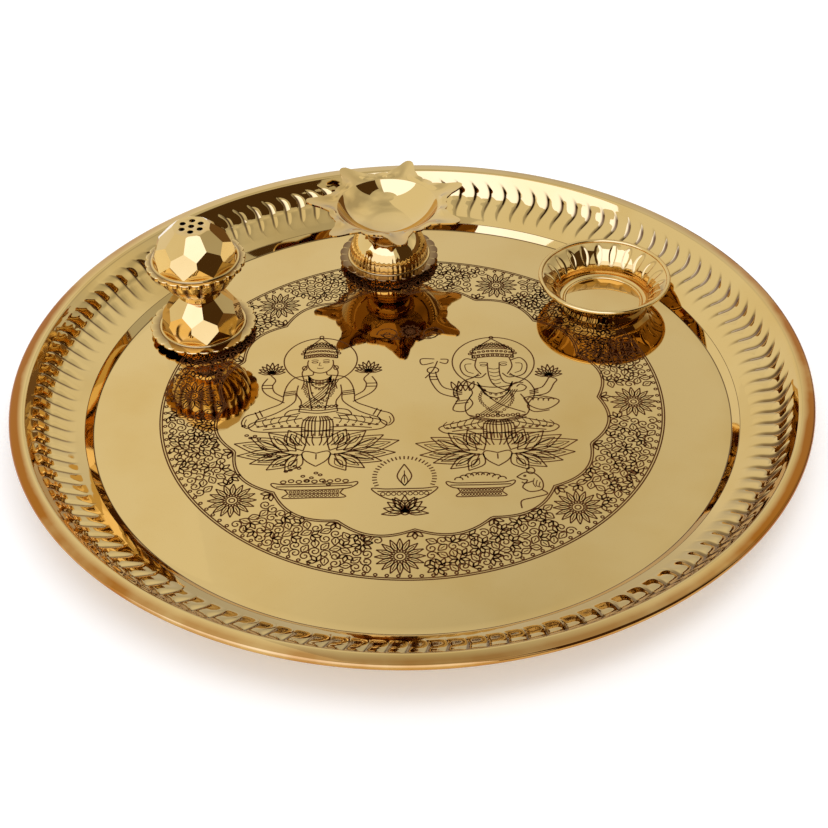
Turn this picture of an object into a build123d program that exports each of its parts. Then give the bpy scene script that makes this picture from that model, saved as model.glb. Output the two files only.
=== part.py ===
from build123d import *
import os
from math import acos, asin, atan2, cos, hypot, pi, radians, sin, sqrt

# A brass puja thali: a round plate with a fluted wall, and three loose vessels standing on its floor,
# which are an incense stand, an oil lamp and a small bowl for powder.
# Millimetres, +Z up, with the origin at the centre of the plate's underside.

# Plate
PLATE_SHEET = 0.9
FLOOR_RADIUS = 123.3
STEP_RUN = 2.9
STEP_RISE = 2.6
WALL_RUN = 20.5
BEND_RUN = 13.5
BEND_RISE = 5.4
BEND_FILLET = 20.0
LIP_WIDTH = 5.7
LIP_HEIGHT = 17.4
LIP_FALL = 0.3
EDGE_BEAD_RADIUS = 1.2
STEP_FILLET = 1.0
LIP_FILLET = 1.8

# S-shaped flutes pressed into the plate's wall
FLUTE_COUNT = 130
FLUTE_WIDTH = 4.6
FLUTE_CREST = 0.6
FLUTE_HEIGHT = 0.8
FLUTE_ROOT = 0.35
FLUTE_ABOVE_STEP = 3.0
FLUTE_BELOW_LIP = 3.2
FLUTE_HOOK = 2.6
FLUTE_SWAY = 0.9

# Domes shared by the incense stand and the lamp
VESSEL_SHEET = 0.8
DOME_RADIUS = 17.3
DOME_FLAT_RADIUS = 7.5
DOME_CENTRE_HEIGHT = 0.4
FACET_INSET = 1.0
FACETS_PER_ROW = 9
FACET_LATITUDES = (0.0, 23.0, 46.0)
FOOT_LIFT = 2.4
FOOT_INSET = 0.6
SCALLOP_COUNT = 24
SCALLOP_DEPTH = 1.0
FLANGE_BEAD_WIDTH = 1.6
FLANGE_BEAD_HEIGHT = 0.6
PROFILE_STEPS = 5
VESSEL_WALL_GAP = 1.3

# Incense stand
STAND_ANGLE = 149.0
STAND_FLANGE_RADIUS = 21.8
CAP_FLANGE_RADIUS = 20.2
CUP_NECK_RADIUS = 9.0
CUP_NECK_HEIGHT = 2.2
CUP_FOOT_RADIUS = 8.6
CUP_MOUTH_RADIUS = 17.2
CUP_HEIGHT = 15.6
CUP_FLUTE_COUNT = 18
CUP_FLUTE_DEPTH = 0.9
INCENSE_HOLE_RADIUS = 1.25
INCENSE_CIRCLE_RADIUS = 4.15
INCENSE_CIRCLE_COUNT = 6
INCENSE_FIRST_ANGLE = 30.0

# Oil lamp
DIYA_ANGLE = 94.9
DIYA_FLANGE_RADIUS = 21.5
DIYA_FLUTE_COUNT = 48
DIYA_FLUTE_DEPTH = 0.5
DIYA_FLUTE_END = 0.3
DISH_FLAT_RADIUS = 7.0
DISH_RADIUS = 21.8
DISH_DEPTH = 8.6
DISH_BELLY = 2.0
DISH_FLANGE_WIDTH = 4.0
DISH_SCALLOP_DEPTH = 0.8
SPOUT_COUNT = 7
SPOUT_SCALLOPS = 4
SPOUT_REACH = 9.2
SPOUT_ROOT_WIDTH = 16.0
SPOUT_WAIST_WIDTH = 8.4
SPOUT_SHOULDER_WIDTH = 4.8
SPOUT_TIP_WIDTH = 2.0
SPOUT_FOLD = 1.5
SPOUT_RISE = 2.0
SPOUT_FIRST_ANGLE = 22.0

# Fasteners hidden in the incense stand and the lamp
SCREW_RADIUS = 2.0
SCREW_HEAD_RADIUS = 3.6
SCREW_HEAD_HEIGHT = 2.2
WASHER_RADIUS = 4.5
WASHER_THICKNESS = 0.8
NUT_ACROSS_FLATS = 7.0
NUT_HEIGHT = 3.0
SCREW_END = 1.0
SCREW_CLEARANCE = 0.2

# Powder bowl
BOWL_ANGLE = 38.3
BOWL_SHEET = 0.8
BOWL_FOOT_RADIUS = 18.0
BOWL_FOOT_RISE = 1.4
BOWL_FOOT_RUN = 1.0
BOWL_WALL_RUN = 8.0
BOWL_HEIGHT = 12.9
BOWL_FLARE_ANGLE = 62.0
BOWL_BEAD_RADIUS = 0.9
BOWL_FLUTE_COUNT = 22
BOWL_FLUTE_DEPTH = 0.9
BOWL_FLUTE_START = 0.1
BOWL_FLUTE_END = 0.9

# Places worked out from the sizes above
STEP_RADIUS = FLOOR_RADIUS + STEP_RUN
LIP_RADIUS = STEP_RADIUS + WALL_RUN
PLATE_RADIUS = LIP_RADIUS + LIP_WIDTH
DOME_HEIGHT = DOME_CENTRE_HEIGHT + sqrt(DOME_RADIUS**2 - DOME_FLAT_RADIUS**2)
FOOT_HEIGHT = FOOT_LIFT + DOME_HEIGHT
SEAT = Pos(0, 0, PLATE_SHEET)


def place_on_floor(angle, foot_radius):
    """The spot on the plate's floor where a vessel stands its gap away from the step."""
    reach = FLOOR_RADIUS - foot_radius - VESSEL_WALL_GAP
    return SEAT * Pos(reach * cos(radians(angle)), reach * sin(radians(angle)), 0)


def around(count, start=0.0):
    """Turns about Z that spread copies evenly."""
    return [Rot(0, 0, start + 360 / count * index) for index in range(count)]


def scalloped_disc(radius, count, depth, thickness):
    """A flat disc whose edge is a row of small outward arcs."""
    valley = radius - depth
    step = 2 * pi / count
    arcs = []
    for index in range(count):
        start = index * step
        middle = start + step / 2
        end = start + step
        arcs.append(
            ThreePointArc(
                (valley * cos(start), valley * sin(start)),
                (radius * cos(middle), radius * sin(middle)),
                (valley * cos(end), valley * sin(end)),
            )
        )
    return extrude(make_face(arcs), thickness)


def wall_line():
    """The inner side of the plate's wall, shallow above the step and steeper below the lip."""
    low = PLATE_SHEET + STEP_RISE
    return FilletPolyline(
        (STEP_RADIUS, low),
        (STEP_RADIUS + BEND_RUN, low + BEND_RISE),
        (LIP_RADIUS, PLATE_SHEET + LIP_HEIGHT),
        radius=BEND_FILLET,
    )


def plate_shell():
    """The plate's sheet: floor, step, wall and lip, with the edge turned into a bead."""
    top = PLATE_SHEET
    edge_height = top + LIP_HEIGHT - LIP_FALL
    bead_place = (PLATE_RADIUS - EDGE_BEAD_RADIUS, edge_height - EDGE_BEAD_RADIUS)
    with BuildPart() as shell:
        with BuildSketch(Plane.XZ):
            with BuildLine():
                FilletPolyline(
                    (0, top),
                    (FLOOR_RADIUS, top),
                    (STEP_RADIUS, top + STEP_RISE),
                    (STEP_RADIUS + BEND_RUN, top + STEP_RISE + BEND_RISE),
                    (LIP_RADIUS, top + LIP_HEIGHT),
                    (PLATE_RADIUS - EDGE_BEAD_RADIUS, edge_height),
                    radius=[STEP_FILLET, STEP_FILLET, BEND_FILLET, LIP_FILLET],
                )
                offset(amount=PLATE_SHEET, side=Side.RIGHT)
            make_face()
            with Locations(bead_place):
                Circle(EDGE_BEAD_RADIUS)
        revolve(axis=Axis.Z)
    return shell.part


def flute():
    """One S-shaped flute on the plate's wall at angle zero, narrow at both ends."""
    wall = wall_line()
    first = FLUTE_ABOVE_STEP / wall.length
    last = 1 - FLUTE_BELOW_LIP / wall.length
    # Each station is a share of the length, a share of the full section and a sideways place.
    stations = [
        (0.0, 0.5, -FLUTE_SWAY),
        (0.25, 0.9, FLUTE_SWAY / 2),
        (0.5, 1.0, 0.0),
        (0.75, 1.0, -FLUTE_SWAY / 2),
        (1.0, 0.5, FLUTE_HOOK),
    ]
    sections = []
    depth = FLUTE_HEIGHT + FLUTE_ROOT
    for share, fullness, sideways in stations:
        spot = first + (last - first) * share
        origin = wall @ spot
        rise = wall % spot
        # The plane's local Y runs with the turn about Z. Similar sections keep the flanks flat.
        plane = Plane((origin.X, 0, origin.Y), x_dir=(-rise.Y, 0, rise.X), z_dir=(-rise.X, 0, -rise.Y))
        half_width = fullness * FLUTE_WIDTH / 2
        outline = Polyline(
            (-FLUTE_ROOT, sideways - half_width),
            (fullness * depth - FLUTE_ROOT, sideways + fullness * FLUTE_CREST),
            (-FLUTE_ROOT, sideways + half_width),
            close=True,
        )
        sections.append(plane * make_face(outline))
    return loft(sections, ruled=True)


def thali_plate():
    rib = flute()
    return plate_shell() + [turn * rib for turn in around(FLUTE_COUNT)]


def fluted_form(levels, count):
    """A filled form through rings of straight sides; each level is (height, valley, ridge)."""
    rings = []
    for height, valley, ridge in levels:
        points = []
        for index in range(2 * count):
            angle = pi * index / count
            radius = ridge if index % 2 else valley
            points.append((radius * cos(angle), radius * sin(angle)))
        rings.append(Pos(0, 0, height) * make_face(Polyline(*points, close=True)))
    return loft(rings, ruled=True)


def faceted_core(shrink, start):
    """The filled faceted dome, drawn in by shrink: staggered rows of flat facets from a start angle."""
    reach = DOME_RADIUS - FACET_INSET - shrink
    top = DOME_HEIGHT - shrink
    side = 3 * DOME_RADIUS
    core = Pos(0, 0, top / 2) * Box(side, side, top)
    turn = 360 / FACETS_PER_ROW
    for row, latitude in enumerate(FACET_LATITUDES):
        for index in range(FACETS_PER_ROW):
            facing = Rot(0, 0, start + turn * (index + row / 2)) * Rot(0, -latitude, 0)
            facet = Plane(Pos(0, 0, DOME_CENTRE_HEIGHT) * facing * Pos(reach, 0, 0) * Rot(0, 90, 0))
            core = split(core, bisect_by=facet, keep=Keep.BOTTOM)
    return core


def smooth_core(shrink):
    """The filled round dome, drawn in by shrink, with fine flutes around its lower part."""
    radius = DOME_RADIUS - shrink
    low = -asin(DOME_CENTRE_HEIGHT / radius)
    high = asin((DOME_HEIGHT - shrink - DOME_CENTRE_HEIGHT) / radius)
    fluted = 1 - DIYA_FLUTE_DEPTH / DOME_RADIUS
    levels = []
    for index in range(PROFILE_STEPS + 1):
        share = index / PROFILE_STEPS
        latitude = low + (high - low) * share
        ridge = radius * cos(latitude)
        height = DOME_CENTRE_HEIGHT + radius * sin(latitude)
        levels.append((height, ridge * fluted if share < DIYA_FLUTE_END else ridge, ridge))
    return fluted_form(levels, DIYA_FLUTE_COUNT)


def flange_and_bead(flange_radius):
    """The scalloped flange around a dome, with the raised bead where they meet."""
    flange = scalloped_disc(flange_radius, SCALLOP_COUNT, SCALLOP_DEPTH, VESSEL_SHEET)
    outer = DOME_RADIUS + FLANGE_BEAD_WIDTH / 2
    crest = DOME_RADIUS
    height = VESSEL_SHEET + FLANGE_BEAD_HEIGHT
    outline = Polyline((0, 0), (outer, 0), (outer, VESSEL_SHEET), (crest, height), (0, height), close=True)
    return flange + revolve(Plane.XZ * make_face(outline), Axis.Z)


def foot_ring():
    """The short ring under a foot's flange, from the floor up into the flange's sheet."""
    outer = DOME_RADIUS - FOOT_INSET
    ring = Circle(outer) - Circle(outer - VESSEL_SHEET)
    return extrude(ring, FOOT_LIFT + VESSEL_SHEET / 2)


def top_hole(radius):
    """A drill through the flat top of a dome."""
    return Pos(0, 0, DOME_HEIGHT) * Cylinder(radius, 4 * VESSEL_SHEET)


def faceted_dome(flange_radius, start):
    """A hollow faceted dome on its scalloped flange, open below."""
    outside = faceted_core(0, start) + flange_and_bead(flange_radius)
    return outside - faceted_core(VESSEL_SHEET, start)


def incense_base():
    half_facet = 180 / FACETS_PER_ROW
    dome = faceted_dome(STAND_FLANGE_RADIUS, half_facet) - top_hole(SCREW_RADIUS + SCREW_CLEARANCE)
    return Pos(0, 0, FOOT_LIFT) * dome + foot_ring()


def incense_cap():
    drill = top_hole(INCENSE_HOLE_RADIUS)
    spread = Pos(INCENSE_CIRCLE_RADIUS, 0, 0)
    ring = [turn * spread * drill for turn in around(INCENSE_CIRCLE_COUNT, INCENSE_FIRST_ANGLE)]
    return faceted_dome(CAP_FLANGE_RADIUS, 0) - [drill] - ring


def cup_filled(shrink):
    """The cup as a filled form above its neck, drawn in by shrink, with flutes down its wall."""
    start = acos(CUP_FOOT_RADIUS / CUP_MOUTH_RADIUS)
    depth = CUP_HEIGHT - CUP_NECK_HEIGHT - shrink
    fluted = 1 - CUP_FLUTE_DEPTH / CUP_MOUTH_RADIUS
    levels = []
    for index in range(PROFILE_STEPS + 1):
        swing = start * (1 - index / PROFILE_STEPS)
        ridge = (CUP_MOUTH_RADIUS - shrink) * cos(swing)
        levels.append((CUP_HEIGHT - depth * sin(swing) / sin(start), ridge * fluted, ridge))
    return fluted_form(levels, CUP_FLUTE_COUNT)


def incense_cup():
    """The fluted cup, from the plain ring at its neck up to its scalloped flange."""
    neck = extrude(Circle(CUP_NECK_RADIUS), CUP_NECK_HEIGHT + VESSEL_SHEET)
    flange = scalloped_disc(CAP_FLANGE_RADIUS, SCALLOP_COUNT, SCALLOP_DEPTH, VESSEL_SHEET)
    outside = cup_filled(0) + neck + Pos(0, 0, CUP_HEIGHT - VESSEL_SHEET) * flange
    inside = extrude(Circle(CUP_NECK_RADIUS - VESSEL_SHEET), CUP_NECK_HEIGHT + VESSEL_SHEET)
    hole = Cylinder(SCREW_RADIUS + SCREW_CLEARANCE, 4 * VESSEL_SHEET)
    return outside - cup_filled(VESSEL_SHEET) - Pos(0, 0, VESSEL_SHEET) * inside - hole


def hexagon_nut():
    """A nut standing on its lower face."""
    body = extrude(RegularPolygon(NUT_ACROSS_FLATS / 2, 6, major_radius=False), NUT_HEIGHT)
    return body - Cylinder(SCREW_RADIUS + SCREW_CLEARANCE, 3 * NUT_HEIGHT)


def washer():
    """A washer standing on its lower face."""
    ring = Circle(WASHER_RADIUS) - Circle(SCREW_RADIUS + SCREW_CLEARANCE)
    return extrude(ring, WASHER_THICKNESS)


def incense_screw():
    """The screw, with its head's upper face at height zero and its shank upwards."""
    grip = 2 * VESSEL_SHEET + WASHER_THICKNESS + NUT_HEIGHT + SCREW_END
    shank = extrude(Circle(SCREW_RADIUS), grip)
    head = extrude(Circle(SCREW_HEAD_RADIUS), -SCREW_HEAD_HEIGHT)
    return head + shank


def diya_base():
    """The lamp's foot: a hollow dome with fine flutes around its lower part, on a scalloped flange."""
    outside = smooth_core(0) + flange_and_bead(DIYA_FLANGE_RADIUS)
    dome = outside - smooth_core(VESSEL_SHEET) - top_hole(SCREW_RADIUS + SCREW_CLEARANCE)
    return Pos(0, 0, FOOT_LIFT) * dome + foot_ring()


def spout():
    """One creased leaf of the lamp's star, from the dish's flange out and up to its blunt point."""
    reach = DISH_FLANGE_WIDTH + SPOUT_REACH
    # Each station is a share of the reach and the leaf's width there; the fold goes with the width.
    stations = [
        (0.03, SPOUT_ROOT_WIDTH),
        (0.5, SPOUT_WAIST_WIDTH),
        (0.85, SPOUT_SHOULDER_WIDTH),
        (1.0, SPOUT_TIP_WIDTH),
    ]
    sections = []
    for share, width in stations:
        origin = (DISH_RADIUS + share * reach, 0, DISH_DEPTH + share * SPOUT_RISE)
        plane = Plane(origin, x_dir=(0, 1, 0), z_dir=(1, 0, 0))
        fold = SPOUT_FOLD * width / SPOUT_ROOT_WIDTH
        outline = Polyline(
            (-width / 2, fold),
            (0, 0),
            (width / 2, fold),
            (width / 2, fold + VESSEL_SHEET),
            (0, VESSEL_SHEET),
            (-width / 2, fold + VESSEL_SHEET),
            close=True,
        )
        sections.append(plane * make_face(outline))
    return loft(sections, ruled=True)


def dish_filled(shrink):
    """The dish as a filled round form, drawn in by shrink: its wall is an arc that bellies outwards."""
    run = DISH_RADIUS - DISH_FLAT_RADIUS
    chord = hypot(run, DISH_DEPTH)
    radius = (chord**2 / 4 + DISH_BELLY**2) / (2 * DISH_BELLY)
    inwards = (radius - DISH_BELLY) / chord
    centre_radius = (DISH_FLAT_RADIUS + DISH_RADIUS) / 2 - inwards * DISH_DEPTH
    centre_height = DISH_DEPTH / 2 + inwards * run
    low = atan2(-centre_height, DISH_FLAT_RADIUS - centre_radius)
    high = atan2(DISH_DEPTH - centre_height, DISH_RADIUS - centre_radius)
    levels = []
    for index in range(PROFILE_STEPS + 1):
        swing = low + (high - low) * index / PROFILE_STEPS
        ring = centre_radius + (radius - shrink) * cos(swing)
        levels.append((centre_height + (radius - shrink) * sin(swing), ring, ring))
    return fluted_form(levels, SPOUT_COUNT * SPOUT_SCALLOPS)


def diya_dish():
    """The lamp's bowl with its scalloped flange and its ring of pointed spouts."""
    bowl = dish_filled(0) - dish_filled(VESSEL_SHEET)
    edge = scalloped_disc(
        DISH_RADIUS + DISH_FLANGE_WIDTH,
        SPOUT_COUNT * SPOUT_SCALLOPS,
        DISH_SCALLOP_DEPTH,
        VESSEL_SHEET,
    )
    mouth = Cylinder(DISH_RADIUS - VESSEL_SHEET / 2, 4 * VESSEL_SHEET)
    flange = Pos(0, 0, DISH_DEPTH) * (edge - mouth)
    leaf = spout()
    return bowl + flange + [turn * leaf for turn in around(SPOUT_COUNT, SPOUT_FIRST_ANGLE)]


def diya_stud():
    """The stud under the dish, with its upper face at height zero."""
    grip = VESSEL_SHEET + WASHER_THICKNESS + NUT_HEIGHT + SCREW_END
    return extrude(Circle(SCREW_RADIUS), -grip)


def bowl_filled(shrink):
    """The bowl as a filled form, drawn in by shrink, with a ring of flutes swelling from its wall."""
    heel = BOWL_FOOT_RADIUS + BOWL_FOOT_RUN - shrink
    flare = radians(BOWL_FLARE_ANGLE)
    foot = BOWL_FOOT_RADIUS - shrink
    fluted = 1 + BOWL_FLUTE_DEPTH / (BOWL_FOOT_RADIUS + BOWL_WALL_RUN / 2)
    levels = [(shrink, foot, foot)]
    for index in range(PROFILE_STEPS + 1):
        share = index / PROFILE_STEPS
        swing = flare * share
        radius = heel + BOWL_WALL_RUN * (1 - cos(swing)) / (1 - cos(flare))
        rise = (BOWL_HEIGHT - BOWL_FOOT_RISE) * sin(swing) / sin(flare)
        ridge = radius * fluted if BOWL_FLUTE_START < share < BOWL_FLUTE_END else radius
        levels.append((BOWL_FOOT_RISE + rise, radius, ridge))
    return fluted_form(levels, BOWL_FLUTE_COUNT)


def kumkum_bowl():
    """The small flared bowl: its wall keeps the sheet's thickness through the flutes."""
    rim_radius = BOWL_FOOT_RADIUS + BOWL_FOOT_RUN + BOWL_WALL_RUN
    section = RegularPolygon(BOWL_BEAD_RADIUS, 6)
    bead = revolve(Plane.XZ * Pos(rim_radius - BOWL_SHEET / 2, BOWL_HEIGHT) * section, Axis.Z)
    return bowl_filled(0) - bowl_filled(BOWL_SHEET) + bead


# The places where the pieces stand
stand_place = place_on_floor(STAND_ANGLE, STAND_FLANGE_RADIUS)
diya_place = place_on_floor(DIYA_ANGLE, DIYA_FLANGE_RADIUS)
bowl_place = place_on_floor(BOWL_ANGLE, BOWL_FOOT_RADIUS)
foot_top = Pos(0, 0, FOOT_HEIGHT)
under_foot_top = Pos(0, 0, FOOT_HEIGHT - VESSEL_SHEET)
cup_floor = Pos(0, 0, FOOT_HEIGHT + VESSEL_SHEET)
cup_top = Pos(0, 0, FOOT_HEIGHT + CUP_HEIGHT)
washer_below = Pos(0, 0, -WASHER_THICKNESS)
washer_above = Pos(0, 0, WASHER_THICKNESS)
nut_below = Pos(0, 0, -WASHER_THICKNESS - NUT_HEIGHT)

nodes = {
    "thali_plate": thali_plate(),
    "incense_base": stand_place * incense_base(),
    "incense_cup": stand_place * foot_top * incense_cup(),
    "incense_cap": stand_place * cup_top * incense_cap(),
    "incense_screw": stand_place * under_foot_top * incense_screw(),
    "incense_washer": stand_place * cup_floor * washer(),
    "incense_nut": stand_place * cup_floor * washer_above * hexagon_nut(),
    "diya_base": diya_place * diya_base(),
    "diya_dish": diya_place * foot_top * diya_dish(),
    "diya_stud": diya_place * foot_top * diya_stud(),
    "diya_washer": diya_place * under_foot_top * washer_below * washer(),
    "diya_nut": diya_place * under_foot_top * nut_below * hexagon_nut(),
    "kumkum_bowl": bowl_place * kumkum_bowl(),
}

os.makedirs("parts", exist_ok=True)
for name, solid in nodes.items():
    export_step(solid, f"parts/{name}.step")
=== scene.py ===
from math import acos, asin, atan2, cos, hypot, pi, radians, sin, sqrt

import bmesh
import bpy
import numpy as np
from mathutils import Matrix, Vector


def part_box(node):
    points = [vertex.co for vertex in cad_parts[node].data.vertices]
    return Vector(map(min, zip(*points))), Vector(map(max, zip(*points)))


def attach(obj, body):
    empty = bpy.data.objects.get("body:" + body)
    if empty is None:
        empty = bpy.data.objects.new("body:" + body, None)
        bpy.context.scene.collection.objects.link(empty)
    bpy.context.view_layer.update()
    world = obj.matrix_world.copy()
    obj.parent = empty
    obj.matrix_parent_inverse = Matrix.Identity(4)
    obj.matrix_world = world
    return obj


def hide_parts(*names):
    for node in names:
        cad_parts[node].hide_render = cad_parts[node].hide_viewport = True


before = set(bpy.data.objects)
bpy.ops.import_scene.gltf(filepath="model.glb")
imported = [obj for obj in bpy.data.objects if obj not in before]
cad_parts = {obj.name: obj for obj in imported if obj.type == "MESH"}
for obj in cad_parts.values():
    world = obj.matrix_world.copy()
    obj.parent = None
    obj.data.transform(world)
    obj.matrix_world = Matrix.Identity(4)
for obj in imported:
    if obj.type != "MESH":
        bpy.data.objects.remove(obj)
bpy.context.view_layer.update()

# The finished look of a brass puja thali: the plate with its pressed flutes and engraved floor,
# the incense stand, the oil lamp and the powder bowl. Sizes are in millimetres until a mesh is made.
MM = 0.001

# Plate
PLATE_SHEET = 0.9
FLOOR_RADIUS = 123.3
STEP_RADIUS = 126.2
STEP_RISE = 2.6
BEND_RUN = 13.5
BEND_RISE = 5.4
BEND_FILLET = 8.0
BEND_POINTS = 24
LIP_RADIUS = 146.7
LIP_HEIGHT = 17.4
LIP_FALL = 0.3
PLATE_RADIUS = 152.4
EDGE_BEAD_RADIUS = 1.2
STEP_FILLET = 1.0
LIP_FILLET = 1.8
LIP_POINTS = 8
# The lip's browner band, partly tarnish and partly painted shade, fades in over these distances beyond the
# lip
LIP_TARNISH_AND_SHADE = (0.8, 3.5)

# S-shaped flutes
FLUTE_COUNT = 130
FLUTE_COLUMNS = 14
FLUTE_ROWS = 34
FLUTE_HEIGHT = 0.5
FLUTE_ABOVE_STEP = 3.0
FLUTE_BELOW_LIP = 3.2
FLUTE_FRONT = 0.2
FLUTE_BACK = 0.45
FLUTE_CROWDING = 0.8
FLUTE_FADE_IN = 0.4
FLUTE_FADE_OUT = 0.22
SWAY_LENGTH = 19.0
SWAY_POWERS = (-0.9, -0.22, 0.022, 0.0044)
# Painted shade along the flutes' creases and at the step's corners
GROOVE_WIDTH = 0.06
GROOVE_CORE = 0.35
GROOVE_FOOT_SHADE = 0.75
GROOVE_DEEPENING = (0.4, 0.9)
STEP_CORNER_ROWS = (2, 3, 4, 8, 9, 10)
STEP_SHADE = 0.85
FLOOR_ROWS = (40.0, 80.0, 110.0, 120.0)
BEAD_ROWS = 9

# Engraved lines, and the ring of ornament around the pictures
LINE = 0.56
FINE = 0.4
LINE_PROUD = 0.02
LINE_DEPTH = 0.1
CURVE_STEPS = 5
ARC_FINENESS = 14
ARC_LEAST = 8
BAND_INNER = 72.5
BAND_CUSP = 4.0
BAND_CUSPS = 16
BAND_OUTER = 98.0
BAND_MIDDLE = 86.4
FOLIAGE_RADII = (79.2, 82.8, 86.4, 90.0, 93.4)
FOLIAGE_STEP = 3.8
FLOWER_CLEARANCE = 1.4
BAND_BEADS = 150
DAISY_RADIUS = 9.0
DAISY_ANGLES = (-47.0, -2.3, 64.4, 129.7, 175.7, 219.8, 266.4)

# Vessels
VESSEL_SHEET = 0.8
DOME_RADIUS = 17.3
DOME_FLAT_RADIUS = 7.5
DOME_CENTRE_HEIGHT = 0.4
FACET_REACH = 16.3
FACETS_PER_ROW = 9
FACET_ROUNDING = 0.6
ROUNDED_ANGLE = 8
FACET_LATITUDES = (0.0, 23.0, 46.0)
FOOT_LIFT = 2.4
FOOT_INSET = 0.6
SCALLOP_COUNT = 24
SCALLOP_DEPTH = 1.0
SCALLOP_POINTS = 12
FLANGE_ROUNDING = 0.2
FLANGE_BEAD_HALF_WIDTH = 0.8
FLANGE_BEAD_HEIGHT = 0.6
# Painted shade under the flanges and round the domes' feet
FLANGE_UNDER_SHADE = 0.35
DOME_FOOT_SHADE = 0.7
SCREW_HOLE_RADIUS = 2.2
STAND_FLANGE_RADIUS = 21.8
CAP_FLANGE_RADIUS = 20.2
CUP_NECK_RADIUS = 9.0
CUP_NECK_HEIGHT = 2.2
CUP_NECK_ROUNDING = 0.3
CUP_FOOT_RADIUS = 8.6
CUP_MOUTH_RADIUS = 17.2
CUP_RIM_OVERLAP = 1.2
CUP_HEIGHT = 15.6
CUP_FLUTE_COUNT = 18
CUP_FLUTE_DEPTH = 0.9
INCENSE_HOLE_RADIUS = 1.25
INCENSE_CIRCLE_RADIUS = 4.15
INCENSE_CIRCLE_COUNT = 6
INCENSE_FIRST_ANGLE = 30.0
DIYA_FLANGE_RADIUS = 21.5
# Painted shade along the lamp foot's flange edge
DIYA_EDGE_SHADE = 0.9
DIYA_FLUTE_COUNT = 48
DIYA_FLUTE_DEPTH = 0.28
DISH_FLAT_RADIUS = 7.0
DISH_RADIUS = 21.8
DISH_DEPTH = 8.6
DISH_BELLY = 2.0
DISH_FLANGE_WIDTH = 4.0
DISH_SCALLOP_DEPTH = 0.8
# Painted shade on the lamp dish's underside
DISH_UNDER_SHADE = 0.7
SPOUT_COUNT = 7
SPOUT_SCALLOPS = 4
SPOUT_REACH = 9.2
SPOUT_HALF_WIDTHS = ((1.0, 0.0), (0.99, 0.7), (0.95, 1.6), (0.85, 2.4), (0.5, 4.2), (0.03, 8.0))
SPOUT_FOLD = 0.9
SPOUT_RISE = 2.0
SPOUT_FIRST_ANGLE = 22.0
BOWL_SHEET = 0.8
BOWL_FOOT_RADIUS = 18.0
BOWL_FOOT_RISE = 1.4
BOWL_FOOT_RUN = 1.0
BOWL_WALL_RUN = 8.0
BOWL_HEIGHT = 12.9
BOWL_FLARE_ANGLE = 62.0
BOWL_BEAD_RADIUS = 0.9
BOWL_FLUTE_COUNT = 22
BOWL_FLUTE_DEPTH = 0.4
OVAL_HALF_WIDTH = 0.55
OVAL_HALF_HEIGHT = 0.33
OVAL_MIDDLE = 0.6
# Painted shade that outlines the bowl's ovals
OVAL_OUTLINE_SHADE = 0.35
BOWL_FLOOR_ROW = 12.0
BOWL_LEDGE_RADIUS = 16.2
BOWL_LEDGE_HEIGHT = 0.6
BOWL_LEDGE_HALF_WIDTH = 0.7
# Painted shade on the outside of the bowl's wall
BOWL_OUTER_SHADE = 0.5

# Studio
COOL = (0.92, 1.0, 1.25)
DAYLIGHT = (0.8, 1.0, 2.1)
SILL = (0.85, 1.0, 1.7)
BROWN = (1.0, 0.6, 0.3)
DENT_DEPTH = 0.5
STUDIO_FLOOR_SIZE = 40
FLOOR_GLOW = 0.24
ROOM_CLOUD_SCALE = 2.0
ROOM_STRENGTH = (0.62, 1.0)
OVERHEAD_SIZE = (1.2, 0.8)
OVERHEAD_PLACE = (0.2, -0.2, 1.5)
OVERHEAD_POWER = 5
PANEL_ROWS = 9
PANEL_COLUMNS = 25
# Each panel's name, distance in metres, azimuths, elevations, colour and strength
LIGHT_TENT = (
    ("window", 1.5, (-166, -72), (28, 74), DAYLIGHT, 2.2),
    ("window_sill", 1.5, (-166, -72), (4, 28), SILL, 1.65),
    ("pale_wall", 1.6, (105, 196), (0, 80), COOL, 1.05),
    ("dark_panel", 1.5, (-58, -8), (0, 62), BROWN, 0.08),
    ("low_wall", 1.7, (-72, 70), (0, 15), BROWN, 0.18),
)

# Camera
CAMERA_FOCAL_PIXELS = 1569
PICTURE_SIZE = 828
CAMERA_ELEVATION = 38.82
CAMERA_DISTANCE = 614.0
CAMERA_ROLL = -0.0223
PLATE_CENTRE_PIXEL = (412.2, 401.0)

# What follows from these sizes: the corners of the wall's profile, and the height of a dome
STEP_EDGE = (STEP_RADIUS, PLATE_SHEET + STEP_RISE)
BEND = (STEP_RADIUS + BEND_RUN, PLATE_SHEET + STEP_RISE + BEND_RISE)
LIP_EDGE = (LIP_RADIUS, PLATE_SHEET + LIP_HEIGHT)
DOME_HEIGHT = DOME_CENTRE_HEIGHT + sqrt(DOME_RADIUS**2 - DOME_FLAT_RADIUS**2)


# Mesh helpers


def axis_of(node):
    """Where a round CAD node's axis stands, and the height of its underside, in millimetres."""
    low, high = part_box(node)
    return (low[0] + high[0]) / 2 / MM, (low[1] + high[1]) / 2 / MM, low[2] / MM


def angles(count):
    return np.arange(count) * 2 * pi / count


def ring(radius, height, turn):
    """One closed row of points; radius and height are numbers or one value for each angle."""
    points = np.empty((len(turn), 3))
    points[:, 0] = radius * np.cos(turn)
    points[:, 1] = radius * np.sin(turn)
    points[:, 2] = height
    return points


def rings(spots, turn):
    """Closed rows of points from (radius, height) pairs."""
    return [ring(radius, height, turn) for radius, height in spots]


def pole(height):
    """A row of one point, on the axis."""
    return np.array([[0, 0, height]])


def oval_spots(x, y, wide, high, turns):
    """Points on an oval about (x, y), at some angles."""
    return [(x + wide * cos(turn), y + high * sin(turn)) for turn in turns]


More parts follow.
